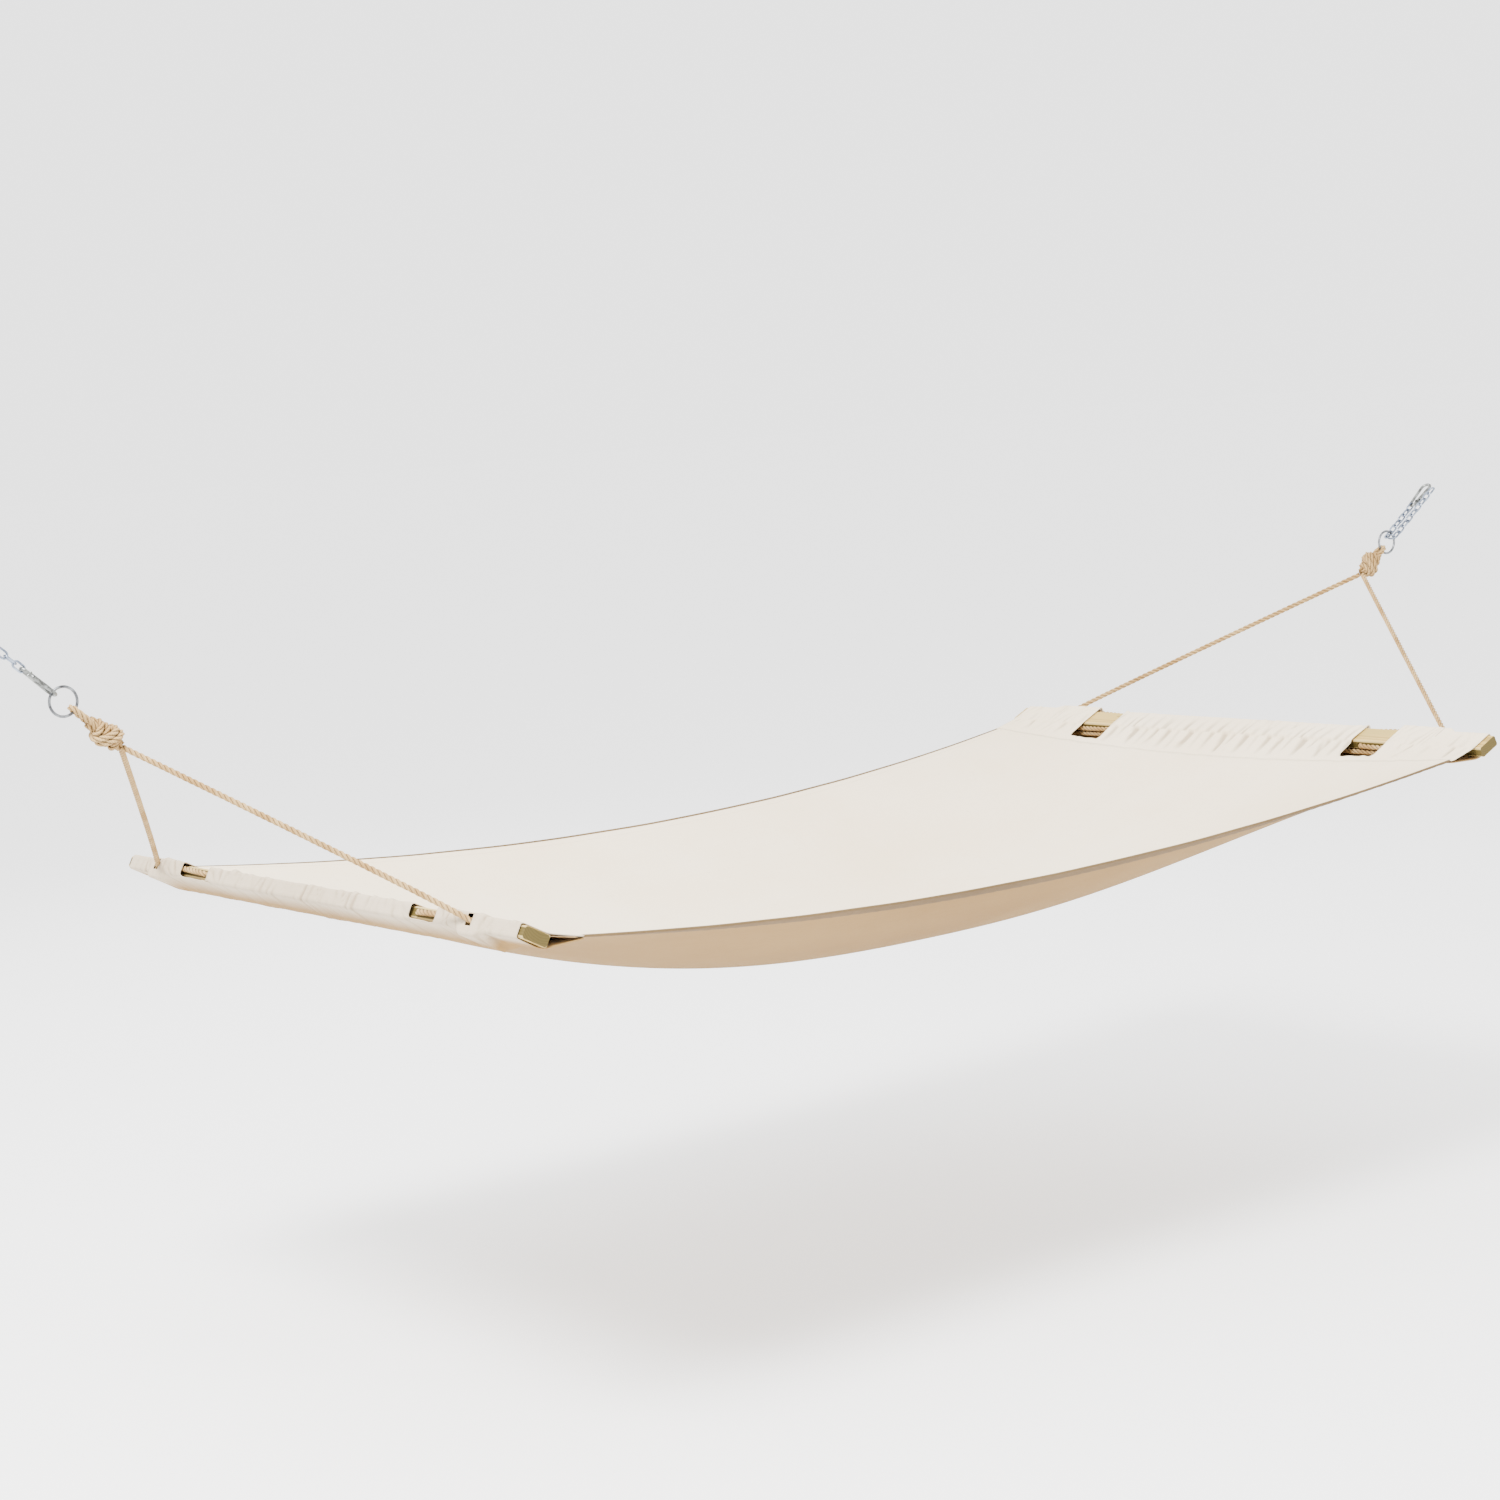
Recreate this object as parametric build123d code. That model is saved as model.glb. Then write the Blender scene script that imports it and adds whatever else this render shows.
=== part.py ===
from build123d import *
from math import acos, asin, cos, degrees, pi, radians, sin, sqrt, tan
import os

# Hammock: a canvas bed between two wooden spreader bars. At each end a laid rope forms a V from the bar
# to a knot, its eye holds a steel ring, and a chain with a snap hook carries the ring.
# Millimetres. +X runs from the left end to the right end, +Y goes away from the viewer, +Z is up.
# The origin is where the left chain's end link hangs on its owner's hook.

# Spreader bars
bar_length = 1400.0
bar_width = 50.0
bar_thick = 22.0
bar_edge_radius = 4.0
bar_spacing = 2290.0
left_bar_tilt = 29.0
right_bar_tilt = 25.0

# Bridle ropes
rope_diameter = 11.0
rope_hole_diameter = 12.5
rope_hole_from_middle = 378.0
rope_corner_radius = 7.0
rope_bow_radius = 60.0
rope_out_of_knot = 6.0
leg_exit_up = 5.0
lashing_pitch = 24.0
lashing_slant = 8.0
left_knot_out = 348.0
left_knot_up = 315.0
right_knot_out = 425.0
right_knot_up = 302.0

# Knots and the eyes above them
knot_length = 82.0
knot_below_legs = 8.0
knot_width = 50.0
knot_turns = 5
knot_turn_lean = 24.0
knot_turn_squeeze = 0.16
left_ring_from_knot = 128.0
right_ring_from_knot = 107.0

# Canvas bed
cloth_thick = 1.5
bed_overhang_at_bar_end = 12.0
hem_drop_at_bar = 5.0
hem_sag = 79.0
hem_neck = 42.0
belly_sag = 188.0
belly_power = 2.5
hem_width = 22.0
hem_thick = 2.6

# Sleeves with their windows and slits
tunnel_beyond_bar = 68.0
tunnel_slack = 2.0
seam_width = 8.0
sleeve_step = 3.0
window_from_middle = 363.0
window_length = 94.0
window_reach = 55.0
slit_from_middle = 566.0
slit_width = 2.0
slit_length = 30.0
leg_hole_length = 28.0
leg_hole_height = 16.0

# Rings, chains and snap hooks
ring_wire = 5.0
ring_outer = 55.0
link_wire = 4.0
link_pitch = 19.0
link_width = 16.0
left_link_count = 4
right_near_link_count = 8
right_far_link_count = 6
hook_length = 80.0
hook_wire = 6.5
hook_nose_radius = 11.0
hook_eye_radius = 6.75
gate_radius = 3.6
gate_lip = 6.0
gate_pivot_back = 7.6
gate_tongue = 3.0
catch_reach = 3.5
catch_thick = 2.0
rivet_radius = 1.5
gate_wall = 1.2
spring_wire = 0.6
spring_turns = 7
spring_pitch = 1.6

# Fits
clearance = 0.3
running_clearance = 0.05
swing_room = 0.5
tilt_room = 0.3

rope_radius = rope_diameter / 2
ring_radius = (ring_outer - ring_wire) / 2
link_bow_radius = (link_width - link_wire) / 2
bed_half_length = bar_spacing / 2 - bar_width / 2 * cos(radians((left_bar_tilt + right_bar_tilt) / 2))
bed_half_width = bar_length / 2 - bed_overhang_at_bar_end
seam_x = bed_half_length - tunnel_beyond_bar


# One end of the hammock: where its bar lies, how it tilts and the line its chain pulls along

class End:
    def __init__(self, name, sign, tilt, knot_out, knot_up, ring_from_knot):
        self.name = name
        self.sign = sign
        self.bar = Vector(sign * bar_spacing / 2, 0, 0)
        self.u = Vector(sign * cos(radians(tilt)), 0, sin(radians(tilt)))
        self.v = Vector(-sign * sin(radians(tilt)), 0, cos(radians(tilt)))
        self.apex = Vector(sign * (bar_spacing / 2 + knot_out), 0, knot_up)
        self.pull = (self.apex - (self.bar + self.u * (bar_width / 2))).normalized()
        self.side = Vector(-sign * self.pull.Z, 0, sign * self.pull.X)
        self.ring_from_knot = ring_from_knot

    def bar_point(self, u, v, y):
        return self.bar + self.u * u + self.v * v + Vector(0, y, 0)

    def bar_plane(self, y=0.0):
        return Plane(origin=self.bar_point(0, 0, y), x_dir=self.u, z_dir=(0, -self.sign, 0))

    def chain_point(self, p, q=0.0, y=0.0):
        return self.apex + self.pull * p + self.side * q + Vector(0, y, 0)

    # Lies in the plane of the pull and the vertical
    def face_plane(self, p, y=0.0):
        return Plane(origin=self.chain_point(p, 0, y), x_dir=self.pull, z_dir=(0, 1, 0))

    # Lies in the plane of the pull and the bar's length
    def edge_plane(self, p, y=0.0):
        return Plane(origin=self.chain_point(p, 0, y), x_dir=self.pull, z_dir=-self.side)


left = End("left", -1, left_bar_tilt, left_knot_out, left_knot_up, left_ring_from_knot)
right = End("right", 1, right_bar_tilt, right_knot_out, right_knot_up, right_ring_from_knot)


# Bed surface: hems sag a little, the belly between them sags more

def lengthwise(x, power):
    return 1 - min(abs(x) / bed_half_length, 1.0) ** power


def hem_height(x):
    return -hem_drop_at_bar - hem_sag * lengthwise(x, 2)


def bed_half_width_at(x):
    return bed_half_width - hem_neck * lengthwise(x, 2)


def belly_depth(x):
    return belly_sag * lengthwise(x, belly_power)


def belly_radius(x):
    depth = belly_depth(x)
    return (bed_half_width_at(x) ** 2 + depth ** 2) / (2 * depth)


def bed_height(x, y):
    radius = belly_radius(x)
    return hem_height(x) - belly_depth(x) + radius - sqrt(radius ** 2 - y ** 2)


def bed_section(x):
    edge = bed_half_width_at(x)
    top = [Vector(x, y, bed_height(x, y)) for y in (-edge, 0, edge)]
    bottom = [point - Vector(0, 0, cloth_thick) for point in top]
    outline = [
        ThreePointArc(*top),
        Line(top[2], bottom[2]),
        ThreePointArc(*reversed(bottom)),
        Line(bottom[0], top[0]),
    ]
    return make_face(Wire(outline))


def stations(half, count):
    return [half * (2 * i / (count - 1) - 1) for i in range(count)]


def make_bed():
    return loft([bed_section(x) for x in stations(seam_x, 21)], ruled=True)


# A hem is the cloth's edge folded under itself, so it lies just beneath the bed's edge

def hem_section(x, side):
    edge = bed_half_width_at(x)
    inner = edge - hem_width
    gap = Vector(0, 0, cloth_thick + clearance)
    deep = Vector(0, 0, hem_thick)
    outer_top = Vector(x, side * edge, bed_height(x, edge)) - gap
    inner_top = Vector(x, side * inner, bed_height(x, inner)) - gap
    return make_face(Polyline(outer_top, inner_top, inner_top - deep, outer_top - deep, close=True))


def make_hem(side):
    hem = loft([hem_section(x, side) for x in stations(seam_x, 21)], ruled=True)
    between_sleeves = 2 * (seam_x - seam_width - 2 * clearance)
    return hem & Box(between_sleeves, 2 * bar_length, 2 * bar_length)


# The spreader bar has rounded edges and two holes that its rope passes through

def make_bar(end):
    block = Box(bar_width, bar_thick, bar_length)
    block = fillet(block.edges().filter_by(Axis.Z), bar_edge_radius)
    for side in (-1, 1):
        place = Pos(0, 0, side * rope_hole_from_middle) * Rot(0, 90, 0)
        block -= place * Cylinder(rope_hole_diameter / 2, 2 * bar_width)
    return end.bar_plane() * block


# Sleeve: a tunnel of cloth round the bar, slack on the inner side where the rope runs, sewn under the bed

rope_off_face = rope_radius + clearance
rope_bulge = rope_diameter + 2 * clearance
lashing_outer = slit_from_middle + 3
lashing_inner = lashing_outer - lashing_pitch
lashed_from = lashing_inner - 1.5 * rope_diameter
lashed_to = lashing_outer + 1.5 * rope_diameter
roped_to = lashing_outer + 2 * rope_diameter
window_to = window_from_middle + window_length


# A point just under the bed, this far in from its end, in the bar's own directions
def under_bed(end, y, inward, deeper):
    across = min(abs(y), bed_half_width_at(seam_x) - 0.5)
    x = seam_x - inward
    z = bed_height(x, across) - cloth_thick - clearance - deeper
    offset = Vector(end.sign * x, 0, z) - end.bar
    return offset.dot(end.u), offset.dot(end.v)


def sleeve_section(end, y, wall):
    roped = window_from_middle < abs(y) < roped_to
    lashed = lashed_from < abs(y) < lashed_to
    slack = abs(y) < lashed_to
    outer = bar_width / 2 + clearance + wall + (rope_bulge if roped else 0)
    top = bar_thick / 2 + clearance + wall
    under = -bar_thick / 2 - clearance - wall - (rope_bulge if lashed else 0)
    inner_top = -bar_width / 2 - clearance - wall
    inner_low = inner_top - (rope_bulge if slack else 0)
    droop = -bar_thick / 2 - rope_diameter - tunnel_slack - wall if slack else under
    around = [(inner_low, min(droop, under)), (outer, under), (outer, top), (inner_top, top)]
    if wall:
        tail = [under_bed(end, y, 0, 0), under_bed(end, y, seam_width, 0),
                under_bed(end, y, seam_width, 2 * cloth_thick)]
    else:
        tail = [under_bed(end, y, 0, 0.75 * cloth_thick), under_bed(end, y, 0, 1.25 * cloth_thick)]
    face = make_face(Polyline(*around, *tail, close=True))
    return end.bar_plane(y) * face


def sleeve_stations():
    quarter = window_from_middle / 4
    half = [0, quarter, 2 * quarter, 3 * quarter, window_from_middle, window_from_middle + 1, window_to,
            lashed_from, lashed_from + sleeve_step, lashed_to - sleeve_step, lashed_to, roped_to,
            roped_to + sleeve_step, bed_half_width]
    return [-y for y in reversed(half[1:])] + half


# A block between two distances across the bar, two up through it, and a length along it

def cutter(across, up, middle, length):
    low, high = across
    bottom, top = up
    return Pos((low + high) / 2, (bottom + top) / 2, middle) * Box(high - low, top - bottom, length)


def sleeve_cuts(side):
    outside = bar_width
    above = 2 * bar_thick
    tunnel_end = -bar_width / 2 - window_reach
    window_middle = side * (window_from_middle + window_length / 2)
    leg_hole_middle = side * (slit_from_middle - leg_hole_length / 4)
    leg_hole_up = (leg_exit_up - leg_hole_height / 2, leg_exit_up + leg_hole_height / 2)
    face = bar_width / 2
    return [
        cutter((tunnel_end, outside), (bar_thick / 4, above), window_middle, window_length),
        cutter((face - bar_edge_radius, outside), (-bar_thick / 2, above), window_middle, window_length),
        cutter((face + bar_edge_radius, outside), leg_hole_up, leg_hole_middle, leg_hole_length),
        cutter((face - slit_length, outside), (bar_thick / 2, above), side * slit_from_middle, slit_width),
    ]


def make_sleeve(end):
    steps = sleeve_stations()
    past = [steps[0] - sleeve_step] + steps[1:-1] + [steps[-1] + sleeve_step]
    shell = loft([sleeve_section(end, y, cloth_thick) for y in steps], ruled=True)
    shell -= loft([sleeve_section(end, y, 0) for y in past], ruled=True)
    for side in (-1, 1):
        for tool in sleeve_cuts(side):
            shell -= end.bar_plane() * tool
    return shell


# A round tube along straight runs joined by tangent arcs

def tube(points, radius_list, radius):
    path = FilletPolyline(*points, radius=radius_list)
    start = Plane(origin=path @ 0, z_dir=path % 0)
    return sweep(start * Circle(radius), path=path)


# Bridle rope: down one leg, under the bar, along it to the hole, through it, back, under the bar again,
# and along the bar's inner face to the other side, where all of it is mirrored

def bridle_half(end, side):
    out = bar_width / 2 + rope_off_face
    under = -bar_thick / 2 - rope_off_face
    route = [
        (out, leg_exit_up, slit_from_middle),
        (out, under, lashing_outer),
        (-out, under, lashing_outer - lashing_slant),
        (-out, 0.5, lashing_outer - 1.5 * lashing_slant),
        (-out, 0, rope_hole_from_middle),
        (out, 0, rope_hole_from_middle),
        (out, 4, lashing_inner - 3),
        (out, under, lashing_inner),
        (-out, under, lashing_inner - lashing_slant),
        (-out - 0.4, -rope_diameter - 4 * clearance, lashing_inner - 65),
    ]
    points = [end.bar_point(u, v, side * y) for u, v, y in route]
    leg = (points[0] - end.apex).normalized()
    return [end.apex + leg * rope_out_of_knot] + points


# A slight bend gets the widest arc that fits, up to a limit, and a corner round the bar gets a tight one

def corner_radii(points):
    radii = []
    for before, here, after in zip(points, points[1:], points[2:]):
        turn = radians((here - before).get_angle(after - here))
        shorter = min((here - before).length, (after - here).length)
        widest = min(0.45 * shorter / tan(turn / 2), rope_bow_radius)
        radii.append(rope_corner_radius if widest < 3 * rope_diameter else widest)
    return radii


def bridle_route(end):
    return bridle_half(end, -1) + list(reversed(bridle_half(end, 1)))


def make_bridle(end):
    return tube(bridle_route(end), corner_radii(bridle_route(end)), rope_radius)


def straight_rope(start, end):
    run = end - start
    return Plane(origin=start + run / 2, z_dir=run) * Cylinder(rope_radius, run.length)


# The eye goes round the ring's near side
eye_bend = ring_wire / 2 + rope_radius + clearance


def eye_points(end):
    start = knot_length - knot_below_legs - rope_radius
    top = end.ring_from_knot - ring_radius + eye_bend
    corners = [(start, -eye_bend), (top, -eye_bend), (top, eye_bend), (start, eye_bend)]
    return [end.chain_point(p, 0, y) for p, y in corners]


# The knot: leaning turns drawn tight round a barrel of rope, with the eye's two strands coming out above

def make_knot(end):
    half = knot_length / 2 - rope_radius
    core_outline = [
        Line((-half, 0), (-half, rope_radius)),
        ThreePointArc((-half, rope_radius), (0, knot_width / 2 - 0.85 * rope_diameter), (half, rope_radius)),
        Line((half, rope_radius), (half, 0)),
        Line((half, 0), (-half, 0)),
    ]
    core = revolve(make_face(Wire(core_outline)), Axis.X)
    turn_radius = knot_width / 2 - rope_radius
    pitch = (knot_length - 3 * rope_diameter) / (knot_turns - 1)
    for i in range(knot_turns):
        place = (i - (knot_turns - 1) / 2) * pitch
        lean = knot_turn_lean if i % 2 else -knot_turn_lean
        squeeze = 1 - knot_turn_squeeze * abs(i - (knot_turns - 1) / 2)
        core += Pos(place, 0, 0) * Rot(0, 90 + lean, 0) * Torus(turn_radius * squeeze, rope_radius)
    knot = end.face_plane(knot_length / 2 - knot_below_legs) * core
    sockets = [straight_rope(*bridle_half(end, side)[:2]) for side in (-1, 1)]
    sockets += [straight_rope(*eye_points(end)[:2]), straight_rope(*eye_points(end)[2:])]
    for socket in sockets:
        knot -= socket
    return knot


def make_eye(end):
    return tube(eye_points(end), [eye_bend - running_clearance] * 2, rope_radius)


def make_ring(end):
    return end.face_plane(end.ring_from_knot) * Torus(ring_radius, ring_wire / 2)


# Chain link: a closed oval of round wire, long axis along X

def make_link():
    straight = link_pitch + link_wire - 2 * link_bow_radius
    path = Wire([
        Line((-straight / 2, -link_bow_radius), (straight / 2, -link_bow_radius)),
        ThreePointArc((straight / 2, -link_bow_radius), (straight / 2 + link_bow_radius, 0),
                      (straight / 2, link_bow_radius)),
        Line((straight / 2, link_bow_radius), (-straight / 2, link_bow_radius)),
        ThreePointArc((-straight / 2, link_bow_radius), (-straight / 2 - link_bow_radius, 0),
                      (-straight / 2, -link_bow_radius)),
    ])
    start = Plane(origin=path @ 0, z_dir=path % 0)
    return sweep(start * Circle(link_wire / 2), path=path)


def chain_links(end, names, first_at, y, starts_on_edge):
    built = {}
    for i, name in enumerate(names):
        at = first_at + i * (link_pitch - clearance / 2)
        on_edge = starts_on_edge == (i % 2 == 0)
        plane = end.edge_plane(at, y) if on_edge else end.face_plane(at, y)
        built[name] = plane * make_link()
    return built


# Snap hook, drawn in a plane: x runs from the nose to the eye, the gate is on the -y side

class HookShape:
    def __init__(self):
        self.eye_at = hook_length - hook_nose_radius - hook_eye_radius - hook_wire
        self.lean = asin((hook_nose_radius - hook_eye_radius) / self.eye_at)
        self.along = Vector(cos(self.lean), sin(self.lean), 0)
        self.nose = Vector(sin(self.lean), -cos(self.lean), 0) * hook_nose_radius
        self.eye = Vector(self.eye_at, 0, 0) + Vector(sin(self.lean), -cos(self.lean), 0) * hook_eye_radius
        self.pivot = self.eye - self.along * gate_pivot_back
        self.gate_length = (self.pivot - self.nose).length - gate_lip - clearance

    def mirrored(self, point):
        return Vector(point.X, -point.Y, 0)


hook = HookShape()
spring_start = 2.4 * gate_radius
spring_room = spring_pitch * spring_turns + spring_wire + 2 * clearance


def hook_wire_path():
    lip = hook.nose + hook.along * gate_lip
    tail = hook.pivot - hook.along * rivet_radius * 2.4
    return Wire([
        Line(lip, hook.nose),
        ThreePointArc(hook.nose, (-hook_nose_radius, 0), hook.mirrored(hook.nose)),
        Line(hook.mirrored(hook.nose), hook.mirrored(hook.eye)),
        ThreePointArc(hook.mirrored(hook.eye), (hook.eye_at + hook_eye_radius, 0), hook.eye),
        Line(hook.eye, tail),
    ])


# Axes at a point of the gate: x along the gate towards the eye, z square to the hook's plane

def gate_plane(point):
    return Plane(origin=point, x_dir=hook.along, z_dir=(0, 0, 1))


def make_hook_body():
    path = hook_wire_path()
    start = Plane(origin=path @ 0, z_dir=path % 0)
    body = sweep(start * Circle(hook_wire / 2), path=path)
    reach = gate_radius + 0.8
    for side in (-1, 1):
        cheek = Pos(0, 0, side * (gate_tongue / 2 + hook_wire / 2)) * Box(2 * reach, 2 * hook_wire, hook_wire)
        body -= gate_plane(hook.pivot) * cheek
    body -= gate_plane(hook.pivot) * Cylinder(rivet_radius + running_clearance, 2 * hook_wire)
    catch = Pos(catch_reach / 2 - 1, 0, 0) * Box(catch_reach + 2, 0.7 * hook_wire, catch_thick)
    body += gate_plane(hook.nose + hook.along * gate_lip) * catch
    return body


def make_gate():
    middle = hook.pivot - hook.along * (hook.gate_length / 2)
    rod = gate_plane(middle) * Rot(0, 90, 0) * Cylinder(gate_radius, hook.gate_length)
    heel = gate_plane(hook.pivot) * Rot(90, 0, 0) * Cylinder(gate_radius, 2 * gate_radius, rotation=(90, 0, 0))
    gate = rod + heel
    slot = Pos(-1, 0, 0) * Box(4 * gate_radius + 2, 4 * gate_radius, gate_tongue + 2 * clearance)
    gate -= gate_plane(hook.pivot) * slot
    gate -= gate_plane(hook.pivot) * Cylinder(rivet_radius + running_clearance, 4 * gate_radius)
    tip = hook.pivot - hook.along * hook.gate_length
    gate -= gate_plane(tip) * Box(2 * catch_reach + 3, 4 * gate_radius, catch_thick + 2 * clearance)
    bore = Rot(0, 90, 0) * Cylinder(gate_radius - gate_wall, spring_room)
    gate -= gate_plane(hook.pivot) * Pos(-spring_start - spring_room / 2, 0, 0) * bore
    return gate


def make_gate_spring():
    turn_radius = gate_radius - gate_wall - spring_wire / 2 - clearance
    height = spring_pitch * spring_turns
    path = Helix(spring_pitch, height, turn_radius)
    start = Plane(origin=path @ 0, z_dir=path % 0)
    coil = sweep(start * Circle(spring_wire / 2), path=path)
    at = -spring_start - spring_room + spring_wire / 2 + clearance
    return gate_plane(hook.pivot) * Pos(at, 0, 0) * Rot(0, 90, 0) * coil


def make_rivet():
    half = gate_radius + clearance
    rivet = Cylinder(rivet_radius, 2 * half)
    for side in (-1, 1):
        rivet += Pos(0, 0, side * (half + 0.4)) * Cylinder(rivet_radius * 1.6, 0.8)
    return gate_plane(hook.pivot) * rivet


# Where each chain starts, measured along the pull from the rope's V

left_nose_at = left_ring_from_knot + ring_radius + hook_nose_radius - hook_wire / 2 - ring_wire / 2 - clearance
left_eye_at = left_nose_at + hook.eye_at
left_first_link_at = (left_eye_at + hook_eye_radius - hook_wire / 2 - link_wire / 2 - clearance
                      + (link_pitch + link_wire) / 2)
saddle_reach = ring_radius - (ring_wire + link_wire) / 2 - clearance - tilt_room
saddle_at = right_ring_from_knot + sqrt(saddle_reach ** 2 - link_bow_radius ** 2)
strand_y = (link_pitch + link_wire) / 2
strand_first_at = saddle_at + (link_pitch + link_wire) / 2 - link_wire - clearance / 2
far_last_at = strand_first_at + (right_far_link_count - 1) * (link_pitch - clearance / 2)
right_eye_at = far_last_at + (link_pitch - hook_wire) / 2 - clearance + hook_eye_radius
right_nose_at = right_eye_at + hook.eye_at


def place_hook(end, nose_at, y, points_out):
    plane = end.edge_plane(nose_at, y)
    return plane * Rot(0, 0, 0 if points_out else 180)


left_link_names = [f"left_chain_link_{i + 1}" for i in range(left_link_count)]
near_names = [f"right_near_link_{i + 1}" for i in range(right_near_link_count)] + ["right_anchor_link"]
far_names = [f"right_far_link_{i + 1}" for i in range(right_far_link_count)]
anchor_at = left_first_link_at + left_link_count * (link_pitch - clearance / 2) - swing_room
origin = left.chain_point(anchor_at + link_pitch / 2)


def build_parts():
    parts = {"canvas_bed": make_bed(), "near_hem": make_hem(-1), "far_hem": make_hem(1)}
    for end in (left, right):
        parts[f"{end.name}_sleeve"] = make_sleeve(end)
        parts[f"{end.name}_spreader_bar"] = make_bar(end)
        parts[f"{end.name}_bridle_rope"] = make_bridle(end)
        parts[f"{end.name}_knot"] = make_knot(end)
        parts[f"{end.name}_ring_eye"] = make_eye(end)
        parts[f"{end.name}_ring"] = make_ring(end)
        if end is left:
            frame = place_hook(end, left_nose_at, 0, True)
        else:
            frame = place_hook(end, right_nose_at, strand_y, False)
        parts[f"{end.name}_hook_body"] = frame * make_hook_body()
        parts[f"{end.name}_hook_gate"] = frame * make_gate()
        parts[f"{end.name}_hook_rivet"] = frame * make_rivet()
        parts[f"{end.name}_gate_spring"] = frame * make_gate_spring()
    parts.update(chain_links(left, left_link_names, left_first_link_at, 0, False))
    parts["left_anchor_link"] = left.face_plane(anchor_at) * make_link()
    parts.update(chain_links(right, near_names, strand_first_at, -strand_y, True))
    parts.update(chain_links(right, far_names, strand_first_at, strand_y, True))
    saddle = Plane(origin=right.chain_point(saddle_at), x_dir=(0, 1, 0), z_dir=right.pull)
    parts["right_saddle_link"] = saddle * make_link()
    return parts


def main():
    os.makedirs("parts", exist_ok=True)
    parts = build_parts()
    for name, shape in parts.items():
        export_step(Pos(*(-origin)) * shape, f"parts/{name}.step")
    for end in (left, right):
        radii = corner_radii(bridle_route(end))
        print(end.name, "bridle rope arcs", [round(radius, 1) for radius in radii[:len(radii) // 2]])
        for cord in ("bridle_rope", "ring_eye"):
            length = parts[f"{end.name}_{cord}"].volume / (pi * rope_radius ** 2)
            print(end.name, cord, "length", round(length), "mm")
    print("origin in the bed frame", origin)


if __name__ == "__main__":
    main()
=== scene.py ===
from math import cos, pi, radians, sin

import bmesh
import bpy
import numpy as np
from mathutils import Matrix, Vector


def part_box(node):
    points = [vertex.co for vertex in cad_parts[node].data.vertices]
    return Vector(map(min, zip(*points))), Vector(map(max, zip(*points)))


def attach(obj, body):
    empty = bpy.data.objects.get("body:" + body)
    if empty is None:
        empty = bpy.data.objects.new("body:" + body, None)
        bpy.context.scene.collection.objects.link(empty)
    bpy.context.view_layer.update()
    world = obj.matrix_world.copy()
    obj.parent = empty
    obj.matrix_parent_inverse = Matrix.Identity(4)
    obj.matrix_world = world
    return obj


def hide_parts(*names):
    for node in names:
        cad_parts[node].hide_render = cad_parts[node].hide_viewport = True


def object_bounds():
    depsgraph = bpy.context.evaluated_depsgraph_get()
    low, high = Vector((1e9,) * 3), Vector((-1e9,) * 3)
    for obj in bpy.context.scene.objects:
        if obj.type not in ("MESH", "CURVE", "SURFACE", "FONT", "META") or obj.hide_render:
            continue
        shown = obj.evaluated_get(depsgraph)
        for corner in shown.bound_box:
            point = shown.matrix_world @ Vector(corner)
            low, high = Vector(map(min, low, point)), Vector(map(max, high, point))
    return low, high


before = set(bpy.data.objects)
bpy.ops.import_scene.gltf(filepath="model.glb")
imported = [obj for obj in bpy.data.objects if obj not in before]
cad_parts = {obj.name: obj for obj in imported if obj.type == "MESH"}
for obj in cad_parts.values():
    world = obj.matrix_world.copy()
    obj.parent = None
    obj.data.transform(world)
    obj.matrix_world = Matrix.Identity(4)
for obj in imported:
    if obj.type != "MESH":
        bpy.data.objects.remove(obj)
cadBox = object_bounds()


# Layout: everything is placed from the two bars' middles and the point midway between them

def middleOf(node):
    low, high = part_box(node)
    return (Vector(low) + Vector(high)) / 2


leftBarMiddle = middleOf("left_spreader_bar")
rightBarMiddle = middleOf("right_spreader_bar")
bedMiddle = (leftBarMiddle + rightBarMiddle) / 2

bar = {"width": 0.050, "thick": 0.022, "length": 1.400}
rope = {
    "diameter": 0.011,
    "layLength": 0.037,
    "strandRadius": 0.00268,
    "helixRadius": 0.00282,
    "stepLength": 0.0030,
    "knotStepLength": 0.0020,
    "sides": 8,
}
canvasThick = 0.0015
play = 0.0003       # air between pieces that touch
ends = {
    "left": {"sign": -1, "bar": leftBarMiddle, "tilt": 29.0,        # degrees, outer edge up
             "knotOut": 0.348, "knotUp": 0.315, "ringFromKnot": 0.128},
    "right": {"sign": 1, "bar": rightBarMiddle, "tilt": 25.0,
              "knotOut": 0.425, "knotUp": 0.302, "ringFromKnot": 0.107},
}
for name, end in ends.items():
    tilt = radians(end["tilt"])
    end["name"] = name
    end["u"] = Vector((end["sign"] * cos(tilt), 0, sin(tilt)))      # outward across the bar
    end["v"] = Vector((-end["sign"] * sin(tilt), 0, cos(tilt)))     # up through the bar
    end["apex"] = end["bar"] + Vector((end["sign"] * end["knotOut"], 0, end["knotUp"]))
    end["pull"] = (end["apex"] - (end["bar"] + end["u"] * bar["width"] / 2)).normalized()
    end["side"] = Vector((-end["sign"] * end["pull"].z, 0, end["sign"] * end["pull"].x))


def barPoint(end, u, v, y):
    return end["bar"] + end["u"] * u + end["v"] * v + Vector((0, y, 0))


def chainPoint(end, p, q=0.0, y=0.0):       # p along the pull from where the legs meet
    return end["apex"] + end["pull"] * p + end["side"] * q + Vector((0, y, 0))


# Node trees for finishes and for shapes: arithmetic on a wrapped socket adds the Math nodes

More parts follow.
